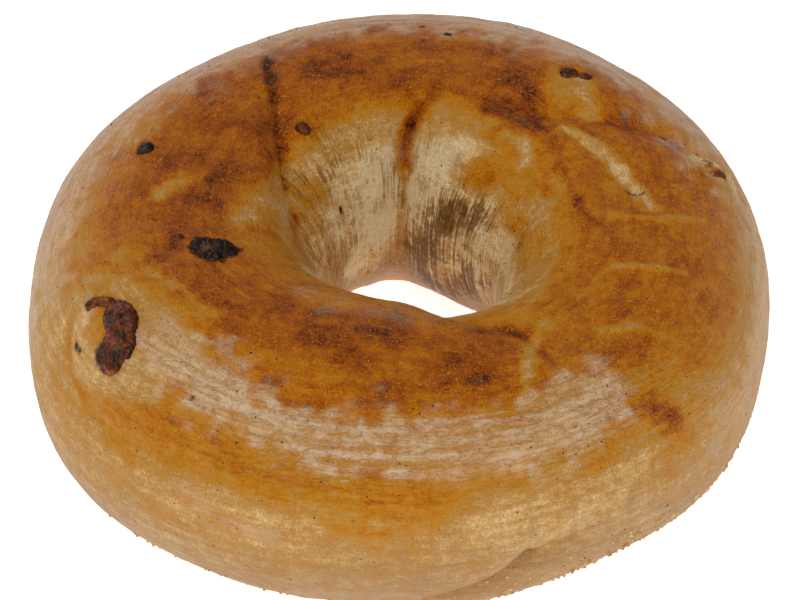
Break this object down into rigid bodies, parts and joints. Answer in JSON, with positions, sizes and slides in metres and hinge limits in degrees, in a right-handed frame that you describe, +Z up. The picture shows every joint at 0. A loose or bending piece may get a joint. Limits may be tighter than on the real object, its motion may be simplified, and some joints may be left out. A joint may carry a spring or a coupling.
{
  "type": "raisin bagel",
  "caption": "Baked ring of bagel dough lying flat, with tucks in its hole's wall and raisins set in its browned crust.",
  "frame": {"origin": "middle of the bounding box at the flat underside, which rests on z = 0", "axes": "+Z up through the hole, +Y away from the picture's camera, +X to its right"},
  "size_m": [0.1112, 0.1092, 0.0421],
  "materials": {
    "crust": "boiled and baked crust, golden to deep brown, satin",
    "raisin": "dried fruit, wrinkled, soft gloss",
    "charred_raisin": "burnt dried fruit, dull and blistered"
  },
  "bodies": {
    "root": {"dough": "crust", "raisin_left": "raisin", "raisin_charred": "charred_raisin", "raisin_side": "charred_raisin", "raisin_far": "raisin", "raisin_back": "raisin", "raisin_edge": "raisin"}
  },
  "joints": []
}
